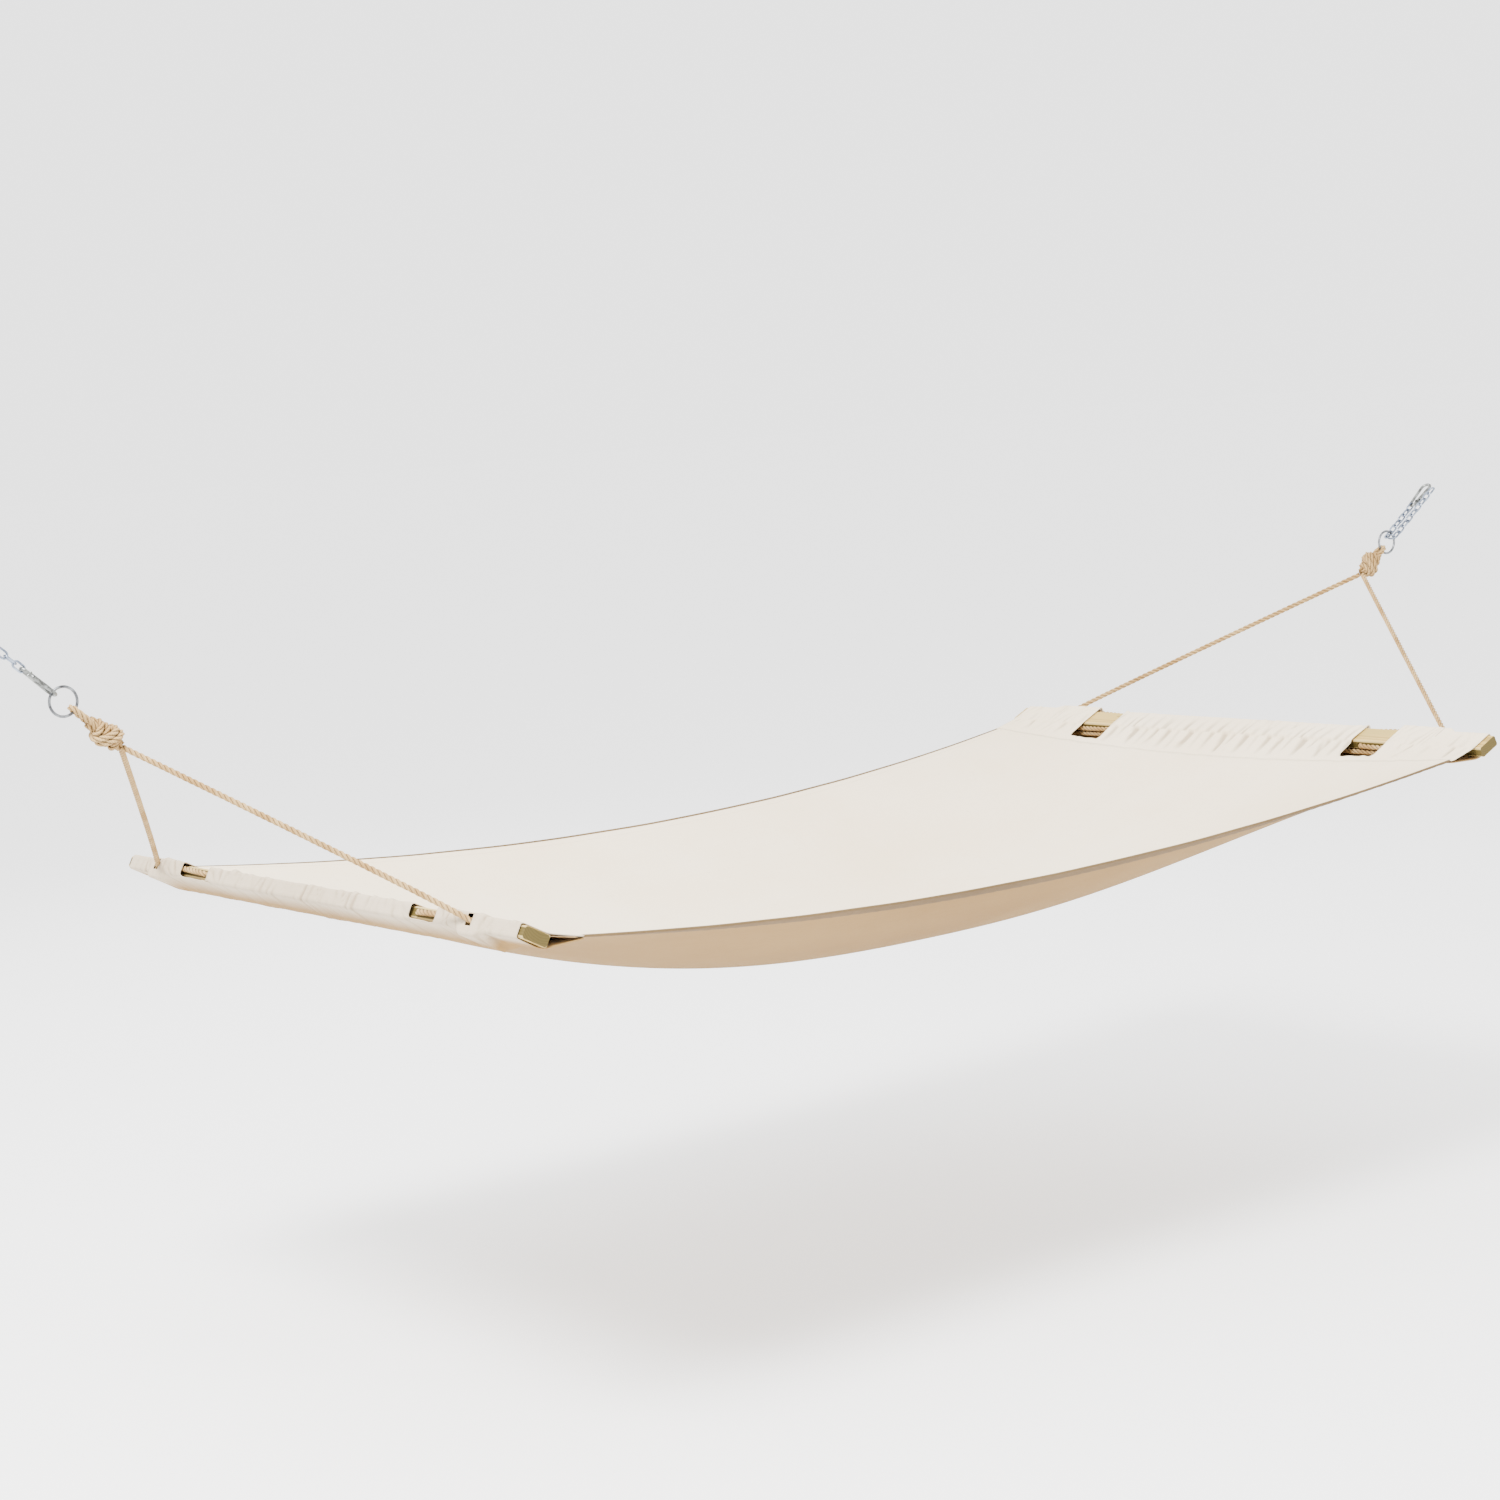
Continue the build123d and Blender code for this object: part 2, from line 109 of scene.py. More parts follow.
class Flow:
    def __init__(self, tree, socket):
        self.tree = tree
        self.socket = socket

    def output(self, key):      # another output of the same node
        return Flow(self.tree, self.socket.node.outputs[key])

    def math(self, operation, other=None, flip=False):
        pair = [self] if other is None else [other, self] if flip else [self, other]
        return self.tree.node("ShaderNodeMath", {"operation": operation}, pair)

    def __add__(self, other):
        return self.math("ADD", other)

    def __sub__(self, other):
        return self.math("SUBTRACT", other)

    def __rsub__(self, other):
        return self.math("SUBTRACT", other, True)

    def __mul__(self, other):
        return self.math("MULTIPLY", other)

    def __truediv__(self, other):
        return self.math("DIVIDE", other)

    __radd__ = __add__
    __rmul__ = __mul__


class Tree:
    def __init__(self, nodeTree):
        self.tree = nodeTree

    def node(self, kind, settings=None, values=None, out=0):
        made = self.tree.nodes.new(kind)
        for name, value in (settings or {}).items():
            setattr(made, name, value)
        pairs = values.items() if isinstance(values, dict) else enumerate(values or [])
        for key, value in pairs:
            if value is not None:
                self.plug(made.inputs[key], value)
        return Flow(self, made.outputs[out])

    def plug(self, socket, value):
        if isinstance(value, Flow):
            self.tree.links.new(value.socket, socket)
        else:
            socket.default_value = value

    def ramp(self, value, low, high, kind="LINEAR"):        # 0 at low, 1 at high
        return self.node("ShaderNodeMapRange", {"interpolation_type": kind},
                         {0: value, 1: low, 2: high})

    def mix(self, amount, first, second):
        return self.node("ShaderNodeMix", {"data_type": "RGBA"},
                         {0: amount, 6: first, 7: second}, 2)

    def vector(self, operation, *values):
        return self.node("ShaderNodeVectorMath", {"operation": operation}, list(values))

    def scaled(self, vector, by):
        return self.node("ShaderNodeVectorMath", {"operation": "SCALE"}, {0: vector, 3: by})


class Finish(Tree):
    def __init__(self, name):
        self.material = bpy.data.materials.new(name)
        self.material.use_nodes = True
        super().__init__(self.material.node_tree)
        self.shader = self.tree.nodes["Principled BSDF"]

    def place(self):
        return self.node("ShaderNodeTexCoord", None, None, 3)

    def stretched(self, where, scale):
        return self.node("ShaderNodeMapping", None, {0: where, 3: scale})

    def noise(self, where, scale, detail=3.0, roughness=0.5):
        return self.node("ShaderNodeTexNoise", None, {
            "Vector": where, "Scale": scale, "Detail": detail, "Roughness": roughness})

    def bands(self, where, direction, scale, distortion=0.0, detail=2.0):
        return self.node("ShaderNodeTexWave", {"bands_direction": direction}, {
            "Vector": where, "Scale": scale, "Distortion": distortion, "Detail": detail})

    def attribute(self, name):
        return self.node("ShaderNodeAttribute", {"attribute_name": name}, None, 2)

    def bump(self, height, strength, distance, under=None):
        return self.node("ShaderNodeBump", None, {
            "Height": height, "Strength": strength, "Distance": distance, "Normal": under})

    def finish(self, **values):
        for key, value in values.items():
            self.plug(self.shader.inputs[key.replace("_", " ")], value)
        return self.material


def tint(*screen):      # a colour as seen on a screen, made linear
    linear = [c / 12.92 if c <= 0.04045 else ((c + 0.055) / 1.055) ** 2.4 for c in screen]
    return (*linear, 1.0)


def darker(colour, share):
    return (*(c * share for c in colour[:3]), 1.0)


# Canvas: a plain weave with thicker threads here and there, and a faint cloudiness

canvasLook = {
    "top": (tint(0.895, 0.840, 0.745), tint(0.872, 0.802, 0.685)),      # light, warm
    # painted shade: a greyer copy of the canvas for the left sleeve's outer faces
    "shadedWrap": (tint(0.750, 0.692, 0.605), tint(0.690, 0.625, 0.530)),
    # painted shade: a darker, warmer copy of the canvas for sides that face down
    "under": (tint(0.560, 0.440, 0.255), tint(0.510, 0.390, 0.205)),
    # painted shade: a dark tone for the folded hem's shadowy edge line, also used for the painted
    # shade in creases
    "hem": (tint(0.420, 0.335, 0.215), tint(0.340, 0.265, 0.160)),
    "weaveScale": 151.274,
    "weaveDepth": 0.0008,
    "slubs": ((3, 260, 260), (260, 3, 260)),        # long along one thread, fine across it
    "cloudScale": 2.2,
    "foldScale": 16.0,
    "foldDepth": 0.004,
}


def makeCanvas(name, tone, weaveStrength=0.35, shaded=False):
    look = Finish(name)
    where = look.place()
    cloud = look.noise(where, canvasLook["cloudScale"], 4.0, 0.6)
    along, across = (look.noise(look.stretched(where, way), 1.0, 2.0)
                     for way in canvasLook["slubs"])
    warp, weft = (look.bands(where, way, canvasLook["weaveScale"], 0.3, 1.0) for way in "XY")
    weave = warp * weft
    slubs = (along + across) * 0.5
    shade = look.ramp(cloud * 0.7 + slubs * 0.3, 0.35, 0.65)
    light, warm = canvasLook[tone]
    base = look.mix(shade, warm, light)
    base = look.mix(look.ramp(slubs, 0.36, 0.30) * 0.5, base, darker(warm, 0.82))
    if shaded:      # painted shade: darker on the side that faces down and at the bottoms of the folds
        light, warm = canvasLook["under"]
        base = look.mix(look.attribute("shadeBelow"), base, look.mix(shade, warm, light))
        # painted shade in the creases, in the hem's dark tone
        base = look.mix(look.attribute("crease") * 0.7, base, canvasLook["hem"][0])
    fold = look.bump(look.noise(where, canvasLook["foldScale"]), 0.10, canvasLook["foldDepth"])
    raised = look.bump(weave * 0.6 + slubs, weaveStrength, canvasLook["weaveDepth"], fold)
    return look.finish(Base_Color=base, Roughness=0.92 - weave * 0.06, Normal=raised,
                       Sheen_Weight=0.04, Sheen_Roughness=0.6, Specular_IOR_Level=0.2)


# Seam thread: two plies, seen as fine slanting bands

threadLook = {"dark": tint(0.78, 0.73, 0.63), "light": tint(0.90, 0.87, 0.80),
              "plyScale": 900.0, "plyDepth": 0.0003}


def makeThread():
    look = Finish("seamThread")
    ply = look.bands(look.place(), "DIAGONAL", threadLook["plyScale"])
    return look.finish(Base_Color=look.mix(ply, threadLook["dark"], threadLook["light"]),
                       Roughness=0.8, Normal=look.bump(ply, 0.4, threadLook["plyDepth"]))


# Bar: pressure-treated softwood, growth rings round a heart that lies off to one side

woodLook = {
    "late": tint(0.530, 0.425, 0.205),
    "early": tint(0.720, 0.605, 0.345),
    "green": tint(0.580, 0.510, 0.270),
    # painted shade: the narrow sides and the ends of the bar are darker than its wide faces
    "side": tint(0.205, 0.178, 0.050),
    # painted highlight: a pale strip along the rounded edges
    "edge": tint(0.760, 0.665, 0.450),
    "ringSpacing": 0.0042,
    "ringWander": 0.012,
    "heart": (0.010, 0.046),        # across and above the bar's middle
    "sideBelow": (0.0108, 0.0100),      # height over the middle where the narrow side and its painted shade start
    "edgeFrom": (0.0315, 0.0328),       # width plus height where the rounded edge and its painted highlight start
    "grainDepth": 0.0006,
}


def makeWood(name, middle, turn):
    look = Finish(name)
    local = look.node("ShaderNodeMapping", {"vector_type": "TEXTURE"},
                      {0: look.place(), 1: middle, 2: (0, turn, 0)})
    bend = look.noise(look.stretched(local, (9, 1.1, 9)), 1.6)
    fibre = look.noise(look.stretched(local, (420, 9, 420)), 1.0, 3.0, 0.65)
    patch = look.noise(look.stretched(local, (6, 1.5, 6)), 1.5)
    offX = look.node("ShaderNodeSeparateXYZ", None, [local])
    offZ = offX.output(2)
    across, up = offX - woodLook["heart"][0], offZ - woodLook["heart"][1]
    radius = (across * across + up * up).math("SQRT") + bend * woodLook["ringWander"]
    ring = (radius / woodLook["ringSpacing"]).math("FRACT")
    late = look.ramp(ring, 0.45, 0.95, "SMOOTHSTEP")
    base = look.mix(late * 0.75, woodLook["early"], woodLook["late"])
    base = look.mix(look.ramp(patch, 0.42, 0.66) * 0.6, base, woodLook["green"])
    base = look.mix(look.ramp(fibre, 0.40, 0.20) * 0.45, base, darker(woodLook["late"], 0.55))
    width, height = offX.math("ABSOLUTE"), offZ.math("ABSOLUTE")
    # painted shade on the narrow sides and the ends
    side = look.ramp(height, *woodLook["sideBelow"])
    base = look.mix(side * 0.88, base, woodLook["side"])
    # painted highlight along the rounded edges
    edge = look.ramp(width + height, *woodLook["edgeFrom"])
    base = look.mix(edge * (fibre * 0.8 + 0.3), base, woodLook["edge"])
    raised = look.bump(fibre * 0.7 + late * 0.5, 0.35, woodLook["grainDepth"])
    return look.finish(Base_Color=base, Roughness=0.62 + fibre * 0.15, Normal=raised,
                       Specular_IOR_Level=0.2)


# Rope finish: each strand's yarns run the other way from the strands, with painted shade in the
# grooves between yarns and where strands face each other

ropeLook = {
    "yarn": tint(0.620, 0.490, 0.300),
    "pale": tint(0.715, 0.595, 0.405),
    "grooveShade": tint(0.300, 0.210, 0.110),
    "yarnPitch": 0.0034,
    "yarnStarts": 3.0,      # yarns side by side round a strand
    "yarnDepth": 0.0006,
    "fuzzScale": 900.0,
    "patchScale": 22.0,
}


def makeRopeFinish():
    look = Finish("laidRopeFibre")
    along, around, inward = (look.attribute(key) for key in ("along", "around", "inward"))
    where = look.place()
    turns = along / ropeLook["yarnPitch"] - around * ropeLook["yarnStarts"]
    yarn = (turns * (2 * pi)).math("SINE") * 0.5 + 0.5
    fibre = look.noise(look.stretched(where, [ropeLook["fuzzScale"]] * 3), 1.0, 2.0)
    patch = look.ramp(look.noise(where, ropeLook["patchScale"]), 0.38, 0.62)
    base = look.mix(patch, ropeLook["yarn"], ropeLook["pale"])
    # painted shade in the yarn grooves and where strands face each other
    base = look.mix((1.0 - yarn) * 0.35, base, ropeLook["grooveShade"])
    base = look.mix(inward * 0.8, base, ropeLook["grooveShade"])
    raised = look.bump(yarn * 0.8 + fibre * 0.5, 0.6, ropeLook["yarnDepth"])
    return look.finish(Base_Color=base, Roughness=0.88, Normal=raised, Sheen_Weight=0.03,
                       Specular_IOR_Level=0.2)


# Zinc-plated steel: bright, with duller clouds and fine scratches

zincLook = {
    "chain": {"bright": tint(0.62, 0.66, 0.72), "dull": tint(0.30, 0.33, 0.39), "roughness": 0.24},
    "ring": {"bright": tint(0.52, 0.53, 0.54), "dull": tint(0.24, 0.24, 0.25), "roughness": 0.26},
    "hook": {"bright": tint(0.56, 0.57, 0.56), "dull": tint(0.27, 0.27, 0.26), "roughness": 0.32},
    "cloudScale": 70.0,
    "scratches": (300, 2200, 900),
    "scratchDepth": 0.0005,
}


def makeZinc(part):
    own = zincLook[part]
    look = Finish("zinc" + part.title())
    where = look.place()
    cloud = look.noise(where, zincLook["cloudScale"], 4.0, 0.65)
    scratch = look.noise(look.stretched(where, zincLook["scratches"]), 1.0, 2.0)
    wear = look.ramp(cloud, 0.35, 0.65)
    raised = look.bump(scratch * 0.6 + cloud, 0.12, zincLook["scratchDepth"])
    return look.finish(Base_Color=look.mix(wear, own["dull"], own["bright"]), Metallic=0.92,
                       Roughness=own["roughness"] + wear * 0.12, Normal=raised)


canvas = makeCanvas("naturalCanvas", "top")
# painted shade: the bed's underside is the same canvas in a darker, warmer tone
canvasUnderShade = makeCanvas("canvasUnderside", "under")
# painted shade: the left sleeve is greyer; both sleeves also get painted shade underneath and in
# their creases
wrapCanvas = {"left": makeCanvas("leftSleeveCanvas", "shadedWrap", 0.40, True),
              "right": makeCanvas("rightSleeveCanvas", "top", 0.40, True)}
hemCanvas = makeCanvas("hemCanvas", "hem", 0.45)
thread = makeThread()
ropeFibre = makeRopeFinish()
steel = {part: makeZinc(part) for part in ("chain", "ring", "hook")}
print("materials made")


# Objects and meshes

def addObject(name, data):
    obj = bpy.data.objects.new(name, data)
    bpy.context.scene.collection.objects.link(obj)
    return obj


def giveMaterial(obj, *materials):
    obj.data.materials.clear()
    for material in materials:
        obj.data.materials.append(material)


def gridFaces(rows, columns):
    return [(r * columns + c, r * columns + c + 1, (r + 1) * columns + c + 1, (r + 1) * columns + c)
            for r in range(rows - 1) for c in range(columns - 1)]


def addCloth(name, points, faces, *materials):
    mesh = bpy.data.meshes.new(name)
    mesh.from_pydata(points.reshape(-1, 3).tolist(), [], faces)
    mesh.shade_smooth()
    obj = addObject(name, mesh)
    giveMaterial(obj, *materials)
    return obj


def thicken(obj, thickness, offset=-1, innerMaterial=0):
    solid = obj.modifiers.new("thickness", "SOLIDIFY")
    solid.thickness = thickness
    solid.offset = offset
    solid.material_offset = innerMaterial


def waves(where, phases, seed, lengths):        # the mean of a few waves, each with its own phase
    rng = np.random.default_rng(seed)
    total = 0 * where
    for length in lengths:
        start = rng.uniform(0, 2 * pi)
        total = total + np.sin(where * 2 * pi / length + start + phases * rng.uniform(-1, 1))
    return total / len(lengths)


def rise(value, low, high):
    return np.clip((value - low) / (high - low), 0, 1)


# Bed: the hems sag a little, the belly between them sags more, and the cloth puckers at the seams

barSpacing = (rightBarMiddle - leftBarMiddle).x
meanTilt = radians((ends["left"]["tilt"] + ends["right"]["tilt"]) / 2)
bed = {
    "halfLength": barSpacing / 2 - bar["width"] / 2 * cos(meanTilt),
    "halfWidth": bar["length"] / 2 - 0.012,
    "hemDrop": 0.005,
    "hemSag": 0.079,
    "hemNeck": 0.042,       # how far each hem draws in at the middle
    "bellySag": 0.188,
    "bellyPower": 2.5,
    "sleeveReach": 0.068,       # from the bar's inner edge to the sleeve's seam
    "seamWidth": 0.008,
    "columns": 230,
    "rows": 150,
    "puckers": {"seed": 3, "lengths": (0.037, 0.052, 0.071, 0.11)},
    "puckerHeight": 0.0016,
    "puckerReach": 0.055,       # how far they run in from the seam
    "ripples": {"seed": 8, "lengths": (0.31, 0.43, 0.57)},
    "rippleHeight": 0.00132,
    "rippleReach": 0.45,
    "rippleSlant": 0.25,
    "drags": {"seed": 12, "lengths": (0.62, 0.87)},
    "dragShare": 0.6,
    "dragSlant": -0.4,
    "edgeWaves": {"seed": 21, "lengths": (0.19, 0.27, 0.41)},
    "edgeHeight": 0.000385,
    "edgeReach": 0.05,      # share of the half width
    "calm": 0.1,        # distance from the seam within which the long waves die out
    "flatness": 6,      # the higher, the nearer to the hems the waves reach
}
seamX = bed["halfLength"] - bed["sleeveReach"]


def lengthwise(x, power):       # 1 at the middle of the bed, 0 at the bars
    return 1 - np.minimum(np.abs(x) / bed["halfLength"], 1.0) ** power


def bedHalfWidth(x):
    return bed["halfWidth"] - bed["hemNeck"] * lengthwise(x, 2)


def bedHeight(x, y):        # across the bed, an arc through both hems
    depth = bed["bellySag"] * lengthwise(x, bed["bellyPower"])
    half = bedHalfWidth(x)
    radius = (half ** 2 + depth ** 2) / (2 * depth)
    hemHeight = -bed["hemDrop"] - bed["hemSag"] * lengthwise(x, 2)
    return hemHeight - depth + radius - np.sqrt(radius ** 2 - y ** 2)


def bedTop(x, y):
    fromSeam = np.maximum(seamX - np.abs(x), 0)
    share = np.abs(y) / bedHalfWidth(x)
    half = np.sign(x)
    inner = np.clip(1 - share ** bed["flatness"], 0, 1)
    calm = np.clip(fromSeam / bed["calm"], 0, 1)
    pucker = waves(y, half * 2, **bed["puckers"]) * np.exp(-fromSeam / bed["puckerReach"])
    ripple = waves(y + bed["rippleSlant"] * x, x * 2.2, **bed["ripples"])
    ripple = ripple * np.exp(-fromSeam / bed["rippleReach"])
    drag = waves(x + bed["dragSlant"] * y, y * 3, **bed["drags"]) * bed["dragShare"]
    edge = waves(x, half, **bed["edgeWaves"]) * np.exp(-(1 - share) / bed["edgeReach"])
    z = bedHeight(x, y) + bed["puckerHeight"] * pucker * inner
    return z + calm * (bed["rippleHeight"] * (ripple + drag) * inner + bed["edgeHeight"] * edge)


def makeBed():
    x = np.linspace(-seamX, seamX, bed["columns"])
    gridX, share = np.meshgrid(x, np.linspace(-1, 1, bed["rows"]))
    gridY = share * bedHalfWidth(gridX)
    points = np.stack([gridX, gridY, bedTop(gridX, gridY)], -1) + np.array(bedMiddle)
    obj = addCloth("canvasBed", points, gridFaces(bed["rows"], bed["columns"]), canvas, canvasUnderShade)
    # the inner side takes the second slot, the painted-shade underside canvas
    thicken(obj, canvasThick, innerMaterial=1)
    return obj


canvasBed = makeBed()
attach(canvasBed, "bed")
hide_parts("canvas_bed")
print("bed laid")


# Node trees that lay a shape along lines

def newGroup(name, numbers, result):
    group = bpy.data.node_groups.new(name, "GeometryNodeTree")
    face = group.interface
    face.new_socket("Line", in_out="INPUT", socket_type="NodeSocketGeometry")
    for number in numbers:
        kind = "NodeSocketInt" if number == "Sides" else "NodeSocketFloat"
        face.new_socket(number, in_out="INPUT", socket_type=kind)
    face.new_socket("Material", in_out="INPUT", socket_type="NodeSocketMaterial")
    face.new_socket(result, in_out="OUTPUT", socket_type="NodeSocketGeometry")
    tree = Tree(group)
    given = group.nodes.new("NodeGroupInput")
    return tree, [Flow(tree, socket) for socket in given.outputs[:len(numbers) + 2]]


def endGroup(tree, made, material):
    made = tree.node("GeometryNodeRealizeInstances", None, {"Geometry": made})
    made = tree.node("GeometryNodeSetMaterial", None, {"Geometry": made, "Material": material})
    tree.tree.links.new(made.socket, tree.tree.nodes.new("NodeGroupOutput").inputs[0])
    return tree.tree


def setInputs(modifier, values):
    for item in modifier.node_group.interface.items_tree:
        if item.in_out == "INPUT" and item.name in values:
            modifier[item.identifier] = values[item.name]


def addCurve(name, lines, kind="POLY"):
    curve = bpy.data.curves.new(name, "CURVE")
    curve.dimensions = "3D"
    for line in lines:
        spline = curve.splines.new(kind)
        spline.points.add(len(line) - 1)
        for point, place in zip(spline.points, line):
            point.co = (*place, 1)
    return addObject(name, curve)


def plainMesh(obj, name):
    depsgraph = bpy.context.evaluated_depsgraph_get()
    mesh = bpy.data.meshes.new_from_object(obj.evaluated_get(depsgraph), depsgraph=depsgraph)
    mesh.name = name
    return mesh


def alongLines(name, lines, group, values):
    carrier = addCurve(name + "Line", lines)
    modifier = carrier.modifiers.new(group.name, "NODES")
    modifier.node_group = group
    setInputs(modifier, values)
    obj = addObject(name, plainMesh(carrier, name))
    bpy.data.objects.remove(carrier)
    return obj


# Sleeve: one strip of canvas round the bar, sewn under the bed at both of its long edges

sleeve = {
    "ropeBulge": rope["diameter"] + 2 * play,       # room for the rope inside
    "slack": 0.002,
    "window": (0.363, 0.457),       # cuts, measured from the middle of the bar
    "slit": (0.5650, 0.5668),
    "hole": (0.5495, 0.5668),
    "lashedSpan": (0.535, 0.600),       # closer columns
    "edgeRope": {"low": 0.363, "high": 0.589, "soft": 0.016},       # where rope lifts the cloth
    "lashedRope": {"low": 0.529, "high": 0.585, "soft": 0.014},
    "innerRope": {"low": -1, "high": 0.585, "soft": 0.020},
    "columnCounts": (84, 22, 22, 6, 6, 1, 10, 22),
    "rounds": (0.0, 0.004, 0.012, 0.0045, 0.0045, 0.014, 0.0),      # corner radii of the outline
    "runs": (2, 18, 12, 8, 12, 16),     # steps on: lap, slope, bar's top, edge, underside, way back
    "arcs": 5,
    "windowCorner": 0.009,
    "cornerReach": 0.012,
    "hemInset": 0.0005,
    "gatherLengths": (0.034, 0.057, 0.083, 0.131),
    "gatherReach": 0.13,        # share of the outline, either way from the bar's inner edge
    "gatherInside": (0.40, 0.33),
    "gatherOutside": (0.47, 0.50),
    "swellLengths": (0.085, 0.13, 0.21),
    "twists": ((0.505, 0.035, 1.0), (0.345, 0.03, 0.7)),        # place, reach and strength
    "twistTurns": (26, 95),     # round the bar and along it
    "calmRows": (4, 6),     # folds die out towards the seams
    "calmEnd": 0.02,        # and towards the bar's ends
    "lift": 0.85,       # on the bar, folds only lift off it
    "creaseShade": (0.00005, 0.0012),
    "left": {"seed": 31, "gather": 0.0012, "folds": 0.0034, "crease": 0.0060},
    "right": {"seed": 44, "gather": 0.0030, "folds": 0.0014, "crease": 0.0034},
}
creases = {     # narrow folds that lean this way and that, each drawn in this order
    "count": 90,
    "draws": {"centre": (-0.67, 0.67), "place": (0.15, 0.75), "width": (0.003, 0.008),
              "lean": (-0.12, 0.12), "spread": (0.06, 0.20), "push": (-0.8, 0.5)},
}


def underBed(end, y, inward, deeper):       # a point of the outline on the bed's underside
    reach = bedHalfWidth(seamX) - sleeve["hemInset"]
    x = end["sign"] * (seamX - inward)
    z = float(bedTop(np.array(x), np.clip(y, -reach, reach))) - canvasThick - play - deeper
    offset = bedMiddle + Vector((x, 0, z)) - end["bar"]
    return Vector((offset.dot(end["u"]), offset.dot(end["v"])))


def between(y, low, high, soft):        # 1 between both places, with soft ends
    pastLow, beforeHigh = (abs(y) - low) / soft + 0.5, (high - abs(y)) / soft + 0.5
    return float(np.clip(pastLow, 0, 1) * np.clip(beforeHigh, 0, 1))


def sleeveOutline(end, y):
    roped, lashed, loose = (between(y, **sleeve[key])
                            for key in ("edgeRope", "lashedRope", "innerRope"))
    skin = play + canvasThick
    outer = bar["width"] / 2 + skin + roped * sleeve["ropeBulge"]
    inner = -bar["width"] / 2 - skin
    top = bar["thick"] / 2 + skin
    under = -bar["thick"] / 2 - skin - lashed * sleeve["ropeBulge"]
    droop = -bar["thick"] / 2 - skin - loose * (rope["diameter"] + sleeve["slack"])
    return [
        underBed(end, y, bed["seamWidth"], 0),
        underBed(end, y, 0, 0),
        Vector((inner, top)),
        Vector((outer, top)),
        Vector((outer, under)),
        Vector((inner - loose * sleeve["ropeBulge"], min(droop, under))),
        underBed(end, y, bed["seamWidth"], 2 * canvasThick),
    ]


def roundedLine(points, radii, runs, arcSteps):
    inTo, outOf = [points[0]], [points[0]]
    for before, here, after, radius in zip(points, points[1:], points[2:], radii[1:]):
        back, on = before - here, after - here
        cut = min(radius, 0.45 * back.length, 0.45 * on.length)
        inTo.append(here + back.normalized() * cut)
        outOf.append(here + on.normalized() * cut)
    inTo.append(points[-1])
    line = []
    for i, run in enumerate(runs):
        line += [outOf[i].lerp(inTo[i + 1], step / run) for step in range(run)]
        if i + 1 == len(runs):
            break
        start, corner, finish = inTo[i + 1], points[i + 1], outOf[i + 1]
        for t in (step / arcSteps for step in range(arcSteps)):
            line.append(start.lerp(corner, t).lerp(corner.lerp(finish, t), t))
    return line + [points[-1]]


def rowAt(segment, share=0.0):      # the row that lies that share along a stretch of the outline
    runs = sleeve["runs"]
    return sum(runs[:segment]) + sleeve["arcs"] * segment + share * runs[segment]


def sleeveColumns():
    lashedFrom, lashedTo = sleeve["lashedSpan"]
    marks = [0, *sleeve["window"], lashedFrom, sleeve["hole"][0], *sleeve["slit"], lashedTo,
             bed["halfWidth"]]
    half = []
    for low, high, count in zip(marks, marks[1:], sleeve["columnCounts"]):
        half += list(np.linspace(low, high, count, endpoint=False))
    half.append(marks[-1])
    return np.array([-y for y in reversed(half[1:])] + half)


def sleeveFolds(end, y, f, edgeAt):     # f runs from 0 to 1 along the outline
    own = sleeve[end["name"]]
    rng = np.random.default_rng(own["seed"])
    near = np.abs(y)
    inner = np.exp(-((f - edgeAt) / sleeve["gatherReach"]) ** 2)
    gathered = rise(near, *sleeve["gatherInside"]) + 0.35 * rise(near, *sleeve["gatherOutside"])
    tight = waves(y, f * 6, own["seed"] + 1, sleeve["gatherLengths"])
    broad = waves(y, f * 9, own["seed"] + 2, sleeve["swellLengths"])
    twisted = sum(strength * np.exp(-((near - place) / reach) ** 2)
                  for place, reach, strength in sleeve["twists"])
    twist = np.sin(f * sleeve["twistTurns"][0] + y * sleeve["twistTurns"][1]) * twisted
    total = own["gather"] * gathered * inner * (tight * 1.5 - 0.8)
    total = total + own["folds"] * (0.5 * broad + 0.6 * twist) * np.sin(pi * f)
    for _ in range(creases["count"]):
        drawn = {key: rng.uniform(*span) for key, span in creases["draws"].items()}
        onward = f - drawn["place"]
        across = (y - drawn["centre"] - drawn["lean"] * onward) / drawn["width"]
        ridge = np.exp(-across ** 2 - (onward / drawn["spread"]) ** 2)
        total = total + own["crease"] * drawn["push"] * ridge
    return total


def sleevePush(end, y, row):        # how far each point is pushed out of the smooth outline
    first, last = rowAt(1), rowAt(5, 1.0)
    fromFirst, fromLast = sleeve["calmRows"]
    push = sleeveFolds(end, y, row / last, rowAt(1, 1.0) / (last + 1))
    push = push * rise(row, first, first + fromFirst) * rise(row, last, last - fromLast)
    push = push * np.clip((bed["halfWidth"] - np.abs(y)) / sleeve["calmEnd"], 0.25, 1)
    onBar = rise(row, rowAt(1, 0.9), rowAt(2)) * rise(row, rowAt(5), rowAt(4, 1.0))
    return np.where(onBar > 0.5, sleeve["lift"] * np.abs(push), push)


def sleeveCuts():       # each cut's span along the bar and its span of rows
    return {
        "window": (sleeve["window"], (rowAt(1, 0.18), rowAt(4) - 1)),
        "slit": (sleeve["slit"], (rowAt(2, 0.30), rowAt(3) - 2)),
        "hole": (sleeve["hole"], (rowAt(3) - 2, rowAt(3, 0.60))),
    }


def roundWindows(y, row):       # moves the windows' ends so that their corners are round
    (low, high), (first, last) = sleeveCuts()["window"]
    corner = rise(np.minimum(row - first, last - row), 5, 0) ** 2 * sleeve["windowCorner"]
    corner = np.where((row >= first) & (row <= last), corner, 0)
    lowSide = np.exp(-np.abs(np.abs(y) - low) / sleeve["cornerReach"])
    highSide = np.exp(-np.abs(np.abs(y) - high) / sleeve["cornerReach"])
    return y + np.sign(y) * corner * (lowSide - highSide)


